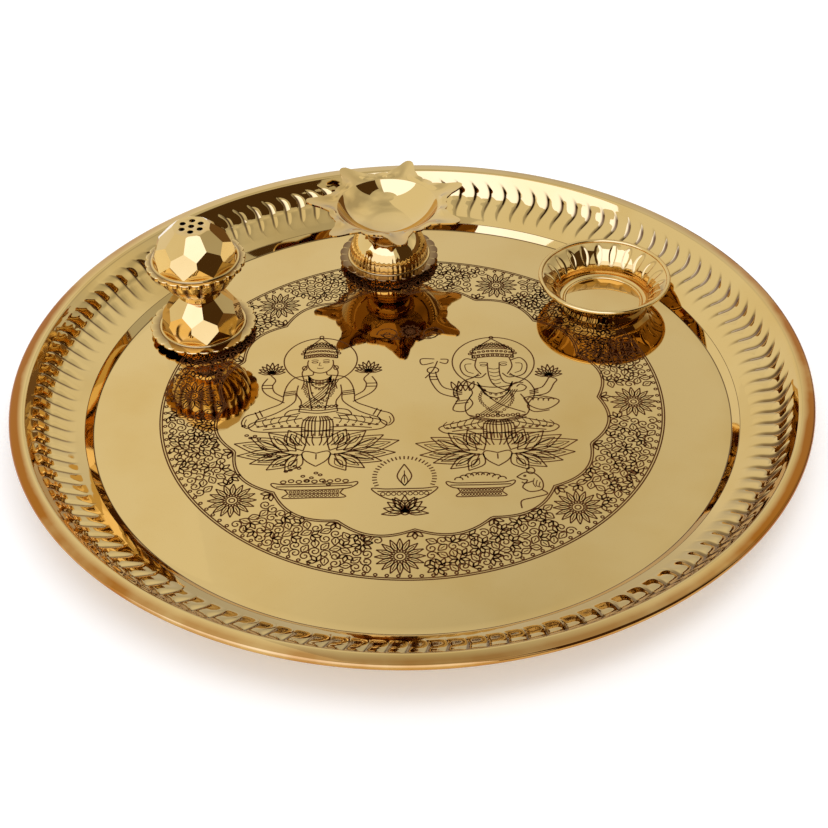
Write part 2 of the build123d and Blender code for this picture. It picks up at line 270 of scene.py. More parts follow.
def rows_mesh(rows, closed=False):
    """Vertices and faces through closed rows; a row of one point is a pole, which gives triangles."""
    starts = np.cumsum([0] + [len(row) for row in rows])
    numbers = [start + np.arange(len(row)) for start, row in zip(starts, rows)]
    following = numbers[1:] + (numbers[:1] if closed else [])
    faces = []
    for first, second in zip(numbers, following):
        count = max(len(first), len(second))
        first = np.resize(first, count)
        second = np.resize(second, count)
        quads = np.stack([first, np.roll(first, -1), np.roll(second, -1), second], axis=1)
        faces += [list(dict.fromkeys(quad)) for quad in quads.tolist()]
    return np.concatenate(rows), faces


def add_object(name, data):
    """Puts a mesh, a light or a camera into the scene."""
    made = bpy.data.objects.new(name, data)
    bpy.context.scene.collection.objects.link(made)
    return made


def make_object(name, parts, place, material, body, nodes=(), sharp=40):
    """One object from (vertices, faces) parts, set on its place, riding its body."""
    mesh = bpy.data.meshes.new(name)
    vertices = []
    faces = []
    for points, polygons in parts:
        start = len(vertices)
        vertices += ((points + np.array(place)) * MM).tolist()
        faces += [[start + corner for corner in polygon] for polygon in polygons]
    mesh.from_pydata(vertices, [], faces)
    shape = bmesh.new()
    shape.from_mesh(mesh)
    bmesh.ops.recalc_face_normals(shape, faces=shape.faces)
    shape.to_mesh(mesh)
    shape.free()
    mesh.shade_smooth()
    mesh.set_sharp_from_angle(angle=radians(sharp))
    mesh.materials.append(material)
    made = add_object(name, mesh)
    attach(made, body)
    if nodes:
        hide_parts(*nodes)
    return made


def set_shade_paint(made, values):
    """Stores how much painted shade each point of a mesh gets."""
    made.data.attributes.new("painted_shade", "FLOAT", "POINT").data.foreach_set("value", values)


def apply_modifier(target, modifier):
    bpy.context.view_layer.objects.active = target
    bpy.ops.object.modifier_apply(modifier=modifier.name)


def arc_points(before, corner, after, radius, count=6):
    """The rounded corner of a polyline as points on its fillet arc."""
    before, corner, after = (np.array(p, float) for p in (before, corner, after))
    back = (before - corner) / np.linalg.norm(before - corner)
    ahead = (after - corner) / np.linalg.norm(after - corner)
    half = np.arccos(np.clip(back @ ahead, -1, 1)) / 2
    centre = corner + (back + ahead) / np.linalg.norm(back + ahead) * radius / sin(half)
    start = corner + back * radius / np.tan(half) - centre
    end = corner + ahead * radius / np.tan(half) - centre
    sweep = pi - 2 * half
    spots = []
    for share in np.linspace(0, 1, count):
        mixed = (sin((1 - share) * sweep) * start + sin(share * sweep) * end) / sin(sweep)
        spots.append(tuple(centre + mixed))
    return spots


def smooth_step(low, high, value):
    share = np.clip((value - low) / (high - low), 0, 1)
    return share * share * (3 - 2 * share)


# Materials


def fill(tree, node, inputs):
    """Sets a shader node's inputs: a value is stored, and a socket is linked."""
    for name, value in inputs.items():
        if isinstance(value, bpy.types.NodeSocket):
            tree.links.new(value, node.inputs[name])
        else:
            node.inputs[name].default_value = value


def add_node(tree, kind, inputs=None, **settings):
    """The outputs of a new shader node."""
    node = tree.nodes.new("ShaderNode" + kind)
    for name, value in settings.items():
        setattr(node, name, value)
    fill(tree, node, inputs or {})
    return node.outputs


def new_material(name):
    material = bpy.data.materials.new(name)
    material.use_nodes = True
    return material, material.node_tree


def tint(material, share, colour):
    """Mixes another colour into a material's base colour by a share between 0 and 1."""
    tree = material.node_tree
    shader = tree.nodes["Principled BSDF"]
    base = shader.inputs["Base Color"].links[0].from_socket
    mix = add_node(tree, "Mix", {"A": base, "B": (*colour, 1), "Factor": share}, data_type="RGBA")
    fill(tree, shader, {"Base Color": mix["Result"]})


def map_range(tree, value, limits, results):
    names = ("From Min", "From Max", "To Min", "To Max")
    inputs = dict(zip(names, (*limits, *results)))
    return add_node(tree, "MapRange", {"Value": value, **inputs})["Result"]


def noise(tree, scale, detail, space="Object"):
    place = add_node(tree, "TexCoord")[space]
    return add_node(tree, "TexNoise", {"Vector": place, "Scale": scale, "Detail": detail})["Fac"]


def product(tree, first, second):
    return add_node(tree, "Math", {0: first, 1: second}, operation="MULTIPLY")["Value"]


def tarnish_and_shade_lip(material, colour):
    """A browner tint towards the plate's edge, in cloudy patches: partly tarnish and partly painted shade,
    laid on most at the sides and the front and least at the back.
    """
    tree = material.node_tree
    place = add_node(tree, "TexCoord")["Object"]
    axes = add_node(tree, "SeparateXYZ", {"Vector": place})
    flat = add_node(tree, "VectorMath", {0: place, 1: (1, 1, 0)}, operation="MULTIPLY")["Vector"]
    radius = add_node(tree, "VectorMath", {0: flat}, operation="LENGTH")["Value"]
    edge = [(LIP_RADIUS + reach) * MM for reach in LIP_TARNISH_AND_SHADE]
    on_lip = map_range(tree, radius, edge, (0, 1))
    in_front = map_range(tree, axes["Y"], (0.03, 0.13), (1, 0.1))
    at_side = map_range(tree, product(tree, axes["X"], axes["X"]), (0.005, 0.02), (0.7, 1.5))
    cloud = map_range(tree, noise(tree, 35, 4), (0.3, 0.55), (0.4, 1.0))
    patches = product(tree, cloud, product(tree, at_side, in_front))
    tint(material, product(tree, on_lip, patches), colour)


def darken_with_shade_paint(material, colour):
    """Painted shade, mixed into the colour by a mesh's shade attribute: in creases and corners, along edges,
    under flanges and on undersides.
    """
    painted_shade = add_node(material.node_tree, "Attribute", attribute_name="painted_shade")
    tint(material, painted_shade["Fac"], colour)


def brass(name, colour, tarnish, roughness, bump):
    """Polished brass: slow tarnish in its colour, cloudy polish and fine dents in its surface."""
    material, tree = new_material(name)
    plain = add_node(tree, "RGB")["Color"]
    plain.default_value = (*colour, 1)
    polish = map_range(tree, noise(tree, 60, 6), (0, 1), (roughness * 0.7, roughness * 1.4))
    dents = {"Strength": bump, "Distance": DENT_DEPTH * MM, "Height": noise(tree, 90, 2)}
    normal = add_node(tree, "Bump", dents)["Normal"]
    looks = {"Metallic": 1.0, "Base Color": plain, "Roughness": polish, "Normal": normal}
    fill(tree, tree.nodes["Principled BSDF"], looks)
    tint(material, map_range(tree, noise(tree, 22, 5), (0.45, 0.75), (0, 1)), tarnish)
    return material


def line_material():
    """The dark residue that fills the engraved lines."""
    material = brass("engraved_line", (0.085, 0.030, 0.010), (0.14, 0.055, 0.018), 0.8, 0.1)
    tree = material.node_tree
    fill(tree, tree.nodes["Principled BSDF"], {"Metallic": 0.0, "Specular IOR Level": 0.0})
    return material


plate_brass = brass("plate_brass", (0.70, 0.46, 0.145), (0.66, 0.41, 0.11), 0.03, 0.03)
# Tarnish on the lip, laid on by side so that it is also painted shade
tarnish_and_shade_lip(plate_brass, (0.38, 0.125, 0.010))
# Painted shade in the plate's flute creases and step corners
darken_with_shade_paint(plate_brass, (0.07, 0.024, 0.006))
vessel_brass = brass("vessel_brass", (0.72, 0.47, 0.145), (0.66, 0.39, 0.10), 0.03, 0.05)
# Painted shade where the vessels' meshes mark it
darken_with_shade_paint(vessel_brass, (0.12, 0.045, 0.010))
fastener_brass = brass("fastener_brass", (0.62, 0.42, 0.15), (0.5, 0.32, 0.1), 0.25, 0.1)
engraved_line = line_material()

# Plate


def wall_rows():
    """The wall's fluted stretch with its bend, as (radius, height, flute share)."""
    bend = arc_points(STEP_EDGE, BEND, LIP_EDGE, BEND_FILLET, BEND_POINTS)
    path = np.array([STEP_EDGE] + bend + [LIP_EDGE])
    walked = np.concatenate([[0], np.cumsum(np.linalg.norm(np.diff(path, axis=0), axis=1))])
    shares = np.linspace(0, 1, FLUTE_ROWS)
    spots = FLUTE_ABOVE_STEP + shares * (walked[-1] - FLUTE_ABOVE_STEP - FLUTE_BELOW_LIP)
    return list(zip(np.interp(spots, walked, path[:, 0]), np.interp(spots, walked, path[:, 1]), shares))


def plate_profile():
    """The plate's upper side from the floor's edge to its bead, as (radius, height, flute share)."""
    floor_edge = (FLOOR_RADIUS, PLATE_SHEET)
    bead_edge = (PLATE_RADIUS - EDGE_BEAD_RADIUS, PLATE_SHEET + LIP_HEIGHT - LIP_FALL)
    lower = arc_points((0, PLATE_SHEET), floor_edge, STEP_EDGE, STEP_FILLET)
    lower += arc_points(floor_edge, STEP_EDGE, BEND, STEP_FILLET)
    upper = arc_points(BEND, LIP_EDGE, bead_edge, LIP_FILLET, LIP_POINTS)
    swings = np.radians(np.linspace(90, -90, BEAD_ROWS))
    middle = (bead_edge[0], bead_edge[1] - EDGE_BEAD_RADIUS)
    upper += oval_spots(*middle, EDGE_BEAD_RADIUS, EDGE_BEAD_RADIUS, swings)
    return [(*spot, 0.0) for spot in lower] + wall_rows() + [(*spot, 1.0) for spot in upper]


def flute_phases():
    """Where the mesh columns of one flute lie across it, closer together beside its creases."""
    evenly = np.arange(FLUTE_COLUMNS) / FLUTE_COLUMNS
    return evenly - FLUTE_CROWDING * np.sin(2 * pi * evenly) / (2 * pi)


def flute_turn(share):
    """How far a flute has swung round the plate at one share of its length, which makes its S."""
    along = (share - 0.5) * SWAY_LENGTH
    sideways = sum(factor * along**power for power, factor in enumerate(SWAY_POWERS))
    return sideways / (STEP_RADIUS + BEND_RUN)


def flute_form(share, phase):
    """How far a flute stands off the wall and how much painted shade its crease gets, at one share of its
    length.
    """
    front = np.sin(pi / 2 * np.minimum(1, phase / FLUTE_FRONT))
    back = np.sin(pi / 2 * np.minimum(1, (1 - phase) / FLUTE_BACK))
    fade = smooth_step(0, FLUTE_FADE_IN, share) * smooth_step(0, FLUTE_FADE_OUT, 1 - share)
    across = np.where(phase < 0.5, phase / FLUTE_FRONT, (1 - phase) / GROOVE_WIDTH)
    crease = 1 - smooth_step(GROOVE_CORE, 1.0, across)
    strength = GROOVE_FOOT_SHADE + (1 - GROOVE_FOOT_SHADE) * smooth_step(*GROOVE_DEEPENING, share)
    return FLUTE_HEIGHT * fade * front * back, crease * fade * strength


def plate():
    phase = np.tile(flute_phases(), FLUTE_COUNT)
    straight = (np.repeat(np.arange(FLUTE_COUNT), FLUTE_COLUMNS) + phase) * 2 * pi / FLUTE_COUNT
    turn = straight + flute_turn(0)
    profile = plate_profile()
    along = np.gradient(np.array([row[:2] for row in profile]), axis=0)
    along /= np.linalg.norm(along, axis=1, keepdims=True)
    upper = [pole(PLATE_SHEET)] + [ring(radius, PLATE_SHEET, turn) for radius in FLOOR_ROWS]
    under = [pole(0.0)] + [ring(radius, 0.0, turn) for radius in FLOOR_ROWS]
    # Painted shade along each row: none on the floor, then in the flutes' creases
    shade_paint_rows = [np.zeros(len(row)) for row in upper]
    for (radius, height, share), (run, rise) in zip(profile, along):
        lift, crease = flute_form(share, phase)
        turn = straight + flute_turn(share)
        upper.append(ring(radius - rise * lift, height + run * lift, turn))
        shade_paint_rows.append(crease)
        below = PLATE_SHEET - lift
        under.append(ring(radius + rise * below, height - run * below, turn))
    under = under[:-BEAD_ROWS]
    # The corners at the foot and at the top of the step get painted shade
    for row in STEP_CORNER_ROWS:
        shade_paint_rows[1 + len(FLOOR_ROWS) + row][:] = STEP_SHADE
    shade_paint_rows += [np.zeros(len(row)) for row in under[::-1]]
    parts = [rows_mesh(upper + under[::-1])]
    made = make_object("plate", parts, (0, 0, 0), plate_brass, "thali", ["thali_plate"])
    set_shade_paint(made, np.concatenate(shade_paint_rows))


plate()

# Engraved floor: strokes in the floor's plane, each a few points, gathered here and made into one mesh
strokes = []


def line(points, width=LINE):
    strokes.append((np.array(points, float), width))


def curve(points, width=LINE):
    """A smooth stroke through a few points."""
    given = list(np.array(points, float))
    padded = [given[0]] + given + [given[-1]]
    path = []
    for a, b, c, d in zip(padded, padded[1:], padded[2:], padded[3:]):
        for t in np.arange(CURVE_STEPS) / CURVE_STEPS:
            bend = (2 * a - 5 * b + 4 * c - d) * t**2 + (3 * b - a - 3 * c + d) * t**3
            path.append(b + ((c - a) * t + bend) / 2)
    line(path + [given[-1]], width)


def pair(points, width=LINE):
    """A smooth stroke and its mirror image across the upright line."""
    curve(points, width)
    curve([(-x, y) for x, y in points], width)


def picture(place, draw, *sizes):
    """What a function draws about its own middle, moved to a place."""
    start = len(strokes)
    draw(*sizes)
    strokes[start:] = [(points + place, width) for points, width in strokes[start:]]


def arc(x, y, wide, high=None, start=0, end=360, width=LINE):
    """A stroke along a circle, or along an oval if it has a height."""
    high = high or wide
    count = int((end - start) / 360 * ARC_FINENESS * max(wide, high) ** 0.5)
    turn = np.radians(np.linspace(start, end, max(ARC_LEAST, count)))
    line(oval_spots(x, y, wide, high, turn), width)


def polar(radius, degrees):
    return np.array([radius * cos(radians(degrees)), radius * sin(radians(degrees))])


def leaf(root, heading, length, breadth, width=LINE):
    """A pointed leaf or petal from its root, with a short rib unless it is slender."""
    root = np.array(root, float)
    along = polar(1, heading)
    across = np.array([-along[1], along[0]])
    for side in (-1, 1):
        belly = root + along * length * 0.45 + across * side * breadth / 2
        curve([root, belly, root + along * length], width)
    if breadth >= 2:
        line([root + along * length * 0.25, root + along * length * 0.7], FINE)


def petal(root, heading, length, breadth):
    """A broad petal: a leaf within a leaf."""
    leaf(root, heading, length, breadth)
    leaf(np.array(root) + polar(length * 0.3, heading), heading, length * 0.52, breadth * 0.45, FINE)


def fan(root, heading, spread, count, length, breadth, droop=0.0):
    """Petals spread from one root; the outer ones are shorter by their share of droop."""
    for index in range(count):
        share = 2 * index / (count - 1) - 1
        leaf(root, heading + share * spread, length * (1 - droop * abs(share)), breadth)


def daisy(place, radius, petals):
    x, y = place
    arc(x, y, radius * 0.12)
    arc(x, y, radius * 0.24)
    for index in range(petals):
        heading = 360 / petals * index
        leaf(place + polar(radius * 0.28, heading), heading, radius * 0.72, radius * 3.6 / petals)


def curl(place, radius, heading, hand):
    """A spiral tendril that winds into its place."""
    shares = np.linspace(0, 1, 18)
    line([place + polar(radius * (1 - 0.82 * s), heading + hand * 500 * s) for s in shares])


def foliage():
    """Leaves, curls and sprigs in staggered rows, which fill the ring around its daisies."""
    flowers = [polar(BAND_MIDDLE, degrees) for degrees in DAISY_ANGLES]
    for row, radius in enumerate(FOLIAGE_RADII):
        count = int(2 * pi * radius / FOLIAGE_STEP)
        for index in range(count):
            degrees = 360 / count * (index + row / 2)
            spot = polar(radius, degrees)
            if min(np.linalg.norm(spot - flower) for flower in flowers) < DAISY_RADIUS + FLOWER_CLEARANCE:
                continue
            heading = degrees + 137 * index + 97 * row
            kind = int(1.618 * index * index + 2.7 * row * index) % 3
            if kind == 0:
                leaf(spot - polar(2.2, heading), heading, 4.4, 2.8)
            elif kind == 1:
                curl(spot, 2.2, heading, 1 if index % 2 else -1)
            else:
                fan(spot - polar(1.6, heading), heading, 55, 3, 3.7, 1.7)


def ornament_band():
    """The ring of ornament: daisies among dense foliage, between a beaded border and a cusped one."""
    sweep = np.linspace(0, 360, 361)
    cusps = BAND_INNER + BAND_CUSP * np.abs(np.sin(np.radians(sweep * BAND_CUSPS / 2)))
    for inset in (0.0, 0.9):
        line([polar(radius + inset, degrees) for radius, degrees in zip(cusps, sweep)])
        line([polar(BAND_OUTER - inset, degrees) for degrees in sweep])
    for index in range(BAND_BEADS):
        x, y = polar(BAND_OUTER - 2.0, index * 360 / BAND_BEADS)
        arc(x, y, 0.6)
    for index in range(BAND_CUSPS):
        degrees = index * 360 / BAND_CUSPS
        fan(polar(BAND_INNER + 1.6, degrees), degrees, 50, 3, 3.8, 1.8)
    for degrees in DAISY_ANGLES:
        daisy(polar(BAND_MIDDLE, degrees), DAISY_RADIUS, 16)
    foliage()


def lotus_seat(width):
    """A wide open lotus: rising, spreading and drooping petals around a heart-shaped one."""
    reach = width / 2
    pair([(0, -8.5), (3.6, -5.5), (5.4, -2), (4.2, 0.2), (0, -1)])
    line([(0, -1.5), (0, -4.5)])
    for side, hand in ((0, 1), (180, -1)):
        for index, heading in enumerate((64, 45, 29, 15)):
            root = (hand * (5 + 2.6 * index), 0.5)
            petal(root, side + hand * heading, reach * (0.46 + 0.06 * index), 7.4)
        for index, heading in enumerate((0, -16, -36, -58)):
            root = (hand * (9.5 - 1.4 * index), -1.5)
            petal(root, side + hand * heading, reach * (0.68 - 0.1 * index), 6.6)
    for index in range(6):
        pair([(1 + 1.5 * index, 3.5), (1.8 + 2.1 * index, 6.5), (1.4 + 2.1 * index, 10.5)])


def hand_lotus():
    fan((0, 0), 90, 80, 9, 7.4, 1.9, 0.25)
    arc(0, 0, 1.4, 0.8)


def crown(base, half, height):
    """A pointed crown with bands of beads, from the height of its lowest band."""
    top = base + height
    rise = 1.1
    pair([(half, base), (half * 0.92, base + height * 0.4), (half * 0.5, base + height * 0.7), (0, top)])
    for share, wide in ((0, 1), (0.14, 0.99), (0.42, 0.88), (0.62, 0.6)):
        level = base + height * share
        curve([(-half * wide, level), (0, level + rise), (half * wide, level)])
    for share, wide in ((0.07, 0.92), (0.28, 0.86), (0.52, 0.66)):
        for spot in np.linspace(-1, 1, 9):
            arc(half * wide * spot, base + height * share + rise * (1 - spot**2), 0.55)
    arc(0, top + 0.8, 0.8)
    for degrees in range(20, 161, 10):
        spot = polar(half * 1.16, degrees)
        arc(spot[0], base - 0.4 + spot[1] * height / half / 1.5, 0.6)


def necklaces(top, width, drops):
    for drop in drops:
        pair([(-width, top), (-width * 0.6, top - drop * 0.75), (0, top - drop)])
        for share in np.linspace(-0.9, 0.9, 7):
            arc(width * share, top - 0.7 - drop * (1 - share**2), 0.42, width=FINE)


def bands(start, end, across, count=2):
    """Short lines across a limb, for an armlet or a bracelet."""
    for middle in np.linspace(start, end, count):
        line([middle - across, middle + across])


def folded_legs(knee, top, low):
    """Legs folded on the seat, with cloth folds and a pleated end hanging in the middle."""
    thigh = [(7, top), (knee * 0.62, top - 2.5), (knee, top - 5.5)]
    shin = [(knee * 1.02, low + 2), (knee * 0.8, low), (0, low)]
    pair(thigh + shin)
    pair([(6, top - 3), (knee * 0.55, top - 5), (knee * 0.9, low + 3)])
    pair([(5, low + 2.2), (knee * 0.45, low + 2.6), (knee * 0.82, low + 1.4)])
    for share in (0.3, 0.42, 0.54, 0.66, 0.78, 0.9):
        across = knee * share
        fold = [(across, top - 3.2 * share), (across + 1.4, top - 4 - share), (across + 0.6, top - 6 - share)]
        pair(fold, FINE)
        for side in (-1, 1):
            arc(side * across, low + 3.4, 0.4)
    for index in range(5):
        middle = (1 + 1.2 * index, (top + low) / 2)
        pair([(0.6 + 0.7 * index, top - 2), middle, (0.8 + 1.3 * index, low - 3)])
    for level in (top - 4, low + 1, low - 3):
        curve([(-6, level), (0, level - 1), (6, level)])


def garment(waist, chest, half):
    """A draped cloth over one shoulder, a bead garland to the waist and a belt of discs."""
    for index in range(4):
        middle = (half * 0.5 - 1.2 * index, (chest + waist) / 2)
        hem = (-half * 0.4 - 1.3 * index, waist)
        curve([(half - 0.9 * index, chest), middle, hem], FINE)
    for share in np.linspace(0, 1, 12):
        sway = half * 0.75 * sin(pi * (0.25 + 0.75 * share))
        for side in (-1, 1):
            arc(side * sway, chest + (waist - chest) * share, 0.55, width=FINE)
    for spot in np.linspace(-1, 1, 9):
        arc(half * 0.9 * spot, waist - 0.8 + 0.6 * spot**2, 0.7)


def seated_figure():
    """A crowned figure with four arms, seated on a lotus, with lotuses in its raised hands."""
    arc(0, 27.7, 14.8)
    arc(0, 25.6, 5.2, 6.4, 160, 380)
    crown(29, 6.8, 13.5)
    for side in (-1, 1):
        arc(side * 2.3, 26.4, 1.2, 0.5, width=FINE)
        arc(side * 2.3, 27.2, 1.6, 0.8, 30, 150, FINE)
        arc(side * 6.3, 22.6, 0.9, 1.3)
    line([(-0.2, 26.2), (-0.6, 24.2), (0.4, 24)], FINE)
    arc(0, 22.8, 1.3, 0.6, 190, 350, FINE)
    pair([(5.4, 24.5), (7.2, 19.5), (6.2, 14), (7, 9)])
    pair([(2.6, 19.9), (3, 18), (5.5, 17.6), (10.2, 16.2), (13, 11), (14, 4.6)])
    necklaces(17.4, 4.6, (3, 5.2, 8, 16))
    pair([(8.4, 11.5), (8.8, 6), (6.8, 1), (7.6, -5)])
    pair([(5.5, 15.5), (4, 6), (2.6, -4)])
    pair([(9.2, 6.6), (9.6, 1), (16, -5.4), (23.6, -9.6)])
    pair([(14, 4.6), (14.6, 0.4), (20, -3), (24.6, -5.6)])
    pair([(24.6, -5.6), (28.2, -7.4), (29.4, -11.6), (27.2, -14.4), (24.6, -12.4), (23.6, -9.6)])
    pair([(27.6, -9), (28.2, -11.6), (27.4, -13.4)], FINE)
    pair([(13.4, 0.6), (20.6, 6), (22.8, 11.2), (20.8, 16.4)])
    pair([(14.2, 4.4), (17.6, 7.4), (18.6, 11.6), (17.6, 15), (19.6, 18.2)])
    for side in (-1, 1):
        bands((side * 11.6, 7.6), (side * 11.8, 5.4), (2.4, 0.4), 3)
        bands((side * 20.6, 10), (side * 20.8, 12), (2, 0))
        bands((side * 22.2, -5.8), (side * 23.8, -6.8), (side * -0.8, -2))
        picture((side * 19.4, 19.4), hand_lotus)
    for level in (-3.4, -5):
        curve([(-7.6, level), (0, level - 1.2), (7.6, level)])
    pair([(7.6, -3.5), (11.5, -4.5), (12.8, -7.5), (8, -8)])
    garment(-1.6, 15, 7.6)
    folded_legs(25.5, -6, -17)
    picture((0, -29), lotus_seat, 60)


def elephant_headed_figure():
    """A crowned figure with an elephant's head and four arms, seated on a lotus."""
    arc(0, 24, 16.5)
    crown(26.6, 8.4, 13)
    pair([(6.6, 26.6), (7.4, 21), (5.2, 16)])
    pair([(7.2, 25), (11, 26.4), (13.4, 22), (12.2, 16.4), (8.6, 14.2), (6.2, 16.4)])
    pair([(8.8, 23), (11.4, 22.4), (10.8, 18.2), (8.2, 16.6)], FINE)
    for side in (-1, 1):
        arc(side * 4, 22, 1.3, 0.6, width=FINE)
        arc(side * 4, 22.9, 1.9, 0.9, 30, 150, FINE)
    trunk = [(-2.4, 23.5), (-2.2, 15), (-0.4, 9), (4.4, 5.4)]
    curve(trunk + [(10, 4.8), (12.2, 7.2), (10, 9.2), (8.4, 7.6)])
    curve([(2.4, 23.5), (2.2, 16), (3.6, 11), (6.6, 9.6), (8.6, 10.4), (11.2, 10)])
    for index in range(5):
        level = 20 - 2.4 * index
        curve([(-2.3 + 0.3 * index, level), (0.2, 19.2 - 2.4 * index), (2.4, level)], FINE)
    pair([(3.2, 16.6), (5.4, 14), (8.2, 14.4), (5.8, 15.4)])
    pair([(8.4, 14), (12.8, 11.4), (15.2, 5.6), (14.6, 0.6)])
    necklaces(11, 7, (7.5, 10.5))
    pair([(9.6, 3), (12.4, -4), (10.4, -10.4), (0, -13.6)])
    curve([(-7, 9), (0, -2), (10.8, -8.6)])
    arc(0, -8, 0.6)
    curve([(-15.4, 6), (-20.4, 8.2), (-22.6, 13.6), (-23.4, 18.4)])
    curve([(-14.8, 1.4), (-21.8, 4.6), (-25.4, 12.4), (-25.8, 17.6)])
    arc(-24.4, 19.4, 2.3, 2)
    curve([(-27.6, 14.4), (-24.4, 19.4), (-22.4, 25.4)])
    curve([(-24, 24.4), (-28.6, 23.2), (-29, 27), (-23.6, 26.8)])
    curve([(-21.6, 24.6), (-19, 23.6), (-18.2, 26.2), (-21.2, 26.6)])
    curve([(-15, 0.4), (-17.2, -6), (-12.6, -7), (-9.4, -2.6), (-10.6, 1)])
    curve([(-10.6, 1), (-9.2, 4.6), (-11.2, 8.8), (-15.6, 8.4), (-16.6, 3.4), (-14.4, 0)])
    for index in range(4):
        leaf((-15.4 + 1.7 * index, 5.6), 108 - 12 * index, 6.4, 1.9)
    curve([(15, 5.8), (18.4, 7), (20.6, 10.8)])
    curve([(14.8, 1.4), (20.4, 3.4), (23.2, 9), (24.6, 11.6), (22, 13.2), (20.6, 10.8)])
    picture((21.6, 14.2), hand_lotus)
    curve([(14.4, 0.6), (11.8, -4.6), (14.2, -8.2), (20.2, -7.4)])
    curve([(10.6, 0.4), (16, 1.6), (24.2, -1.2), (21.6, -5.4), (17, -7), (12.6, -4.2), (10.6, 0.4)])
    for index in range(5):
        arc(13.4 + 2 * index, -0.6 - 0.2 * index, 1.2, 1.2, 20, 200)
    for side in (-1, 1):
        bands((side * 15, 5.2), (side * 15, 3.2), (1.8, 0.5), 3)
    bands((-24, 13.4), (-24.4, 15.2), (1.8, 0))
    bands((-13.4, -0.4), (-13.6, -2), (2.6, 0.4))
    for level in (-9.6, -11.2):
        curve([(-11, level), (0, level - 3), (11, level)])
    garment(-9.4, 6, 8.6)
    folded_legs(22, -10.5, -20.5)
    picture((-1.4, -31), lotus_seat, 58)


def lamp_picture():
    leaf((0, 1), 90, 12, 5.4)
    leaf((0, 1), 90, 6.4, 2.4, FINE)
    for degrees in range(-22, 203, 8):
        ray = np.array([0, 5.6])
        line([ray + polar(10.2, degrees), ray + polar(12, degrees)], 0.6)
    pair([(0, -0.6), (7, -0.6), (12.2, -0.2), (8.4, -4.6), (4, -6.8), (0, -7.2)])
    pair([(0, -2), (10, -1.8)])
    for index in range(9):
        arc(-8 + 2 * index, -3.3, 0.8, 0.9, width=FINE)
    fan((0, -13.2), 90, 74, 7, 9, 3.4, 0.1)
    fan((0, -13.2), 90, 96, 4, 8.6, 2.6)
    arc(0, -13.2, 1.5)


def tray_picture(half):
    """A footed tray with two rows of beads."""
    pair([(0, 0), (half * 0.7, 0), (half, 0.9), (half * 0.98, -0.9), (half * 0.72, -2.8), (0, -3.2)])
    pair([(0, -1.3), (half * 0.9, -1.1)])
    pair([(half * 0.7, -2.8), (half * 0.62, -5), (half * 0.72, -7.4), (0, -7.4)])
    pair([(0, -5.2), (half * 0.6, -5.2)])
    for spot in np.linspace(-0.55, 0.55, 13):
        arc(half * spot, -6.3, 0.5, 0.6, width=FINE)
        arc(half * spot, -4.1, 0.5, width=FINE)


def mouse_picture():
    curve([(-5.2, 4), (-2, 6.4), (1.4, 5.8), (4, 1.6), (3.6, -3), (-0.8, -4.2), (-3.4, -2)])
    curve([(-5.2, 4), (-3.2, 2.6), (-1.4, 2), (-3, -0.6), (-3.4, -2)])
    arc(0.2, 7.4, 1.5, 1.8)
    arc(-2.2, 4.5, 0.4)
    curve([(0.8, 1.6), (-2.2, 0.4), (-3.6, 1.2)])
    curve([(3.4, -3.2), (5.4, -5.6), (0.4, -7.4), (-4.2, -9), (-4.4, -13)])
    for index in range(3):
        fur = [(1.2 + index, 3 - index), (0.6 + index, 0.4 - index), (1.4 + index, -1.8)]
        curve(fur, FINE)


def floor_pictures():
    picture((-36.5, 0), seated_figure)
    picture((33.1, 0), elephant_headed_figure)
    picture((-3.4, -50.4), lamp_picture)
    picture((-36.6, -47.4), tray_picture, 15.6)
    picture((24.6, -48.6), tray_picture, 12.4)
    for index in range(9):
        share = index / 4 - 1
        arc(-36.6 + 11.5 * share, -46 + 0.5 * (index % 2), 1, 0.8)
        arc(24.6 + 8 * share, -46.8 + 2.6 * (1 - share**2), 1.5, 1.3, -10, 190)
    for index in range(22):
        arc(-65 + 1.6 * index, -13 - 32 * (1 - (1 - index / 22) ** 2) + 3 * sin(5 * index), 0.7, 0.5)
    picture((43.2, -50), mouse_picture)
    for side in (-1, 1):
        curl(np.array([side * 9, 44]), 5, 90 - side * 90, side)
        leaf((side * 4, 41), 90 - side * 70, 9, 3.2)
    daisy(np.array([0, 46]), 4.6, 10)


def stroke_mesh(points, width):
    """A stroke as a closed prism with three sides, barely above the floor."""
    ahead = np.gradient(points, axis=0)
    ahead = ahead / np.maximum(np.linalg.norm(ahead, axis=1, keepdims=True), 1e-9)
    across = np.stack([-ahead[:, 1], ahead[:, 0]], axis=1) * width / 2
    count = len(points)
    edges = []
    for side, lift in ((1, LINE_PROUD), (-1, LINE_PROUD), (0, -LINE_DEPTH)):
        edges.append(np.column_stack([points + side * across, np.full(count, PLATE_SHEET + lift)]))
    faces = [[0, 2 * count, count], [count - 1, 2 * count - 1, 3 * count - 1]]
    for a in range(count - 1):
        for low, high in ((0, count), (count, 2 * count), (2 * count, 0)):
            faces.append([low + a, high + a, high + a + 1, low + a + 1])
    return np.concatenate(edges), faces


def engraving():
    ornament_band()
    floor_pictures()
    parts = [stroke_mesh(points, width) for points, width in strokes]
    make_object("engraving", parts, (0, 0, 0), engraved_line, "thali")


engraving()

# Vessels


def vessel(name, parts, place, body, nodes=(), sharp=40):
    return make_object(name, parts, place, vessel_brass, body, nodes, sharp)


def scalloped_edge(turn, radius, count, depth):
    """The radius of a scalloped edge at each angle: a row of small outward arcs."""
    phase = turn * count / (2 * pi)
    phase = phase - np.floor(phase)
    return radius - depth + depth * np.sqrt(np.clip(1 - (2 * phase - 1) ** 2, 0, 1))


